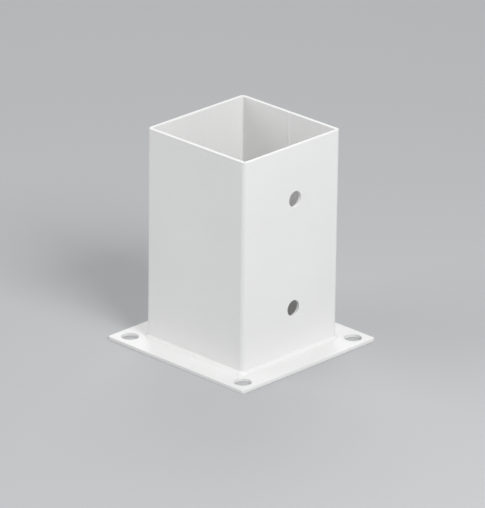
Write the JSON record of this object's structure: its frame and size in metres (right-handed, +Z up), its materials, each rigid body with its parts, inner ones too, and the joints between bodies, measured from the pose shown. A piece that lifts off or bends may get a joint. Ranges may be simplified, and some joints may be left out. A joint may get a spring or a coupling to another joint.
{
  "type": "post anchor bracket",
  "caption": "Welded steel anchor bracket: a tall square sleeve on a square base plate holds a timber post and bolts down to concrete.",
  "frame": {"origin": "centre of the base plate's underside", "axes": "+Z up the sleeve, +X out of the bolted wall, +Y out of the welded seam's wall"},
  "size_m": [0.15, 0.15, 0.18],
  "materials": {
    "coated_steel": "satin white powder coat",
    "coated_weld": "satin white powder coat over weld beads"
  },
  "bodies": {
    "root": {"base_plate": "coated_steel", "post_sleeve": "coated_steel", "foot_weld": "coated_weld", "seam_weld": "coated_weld"}
  },
  "joints": []
}
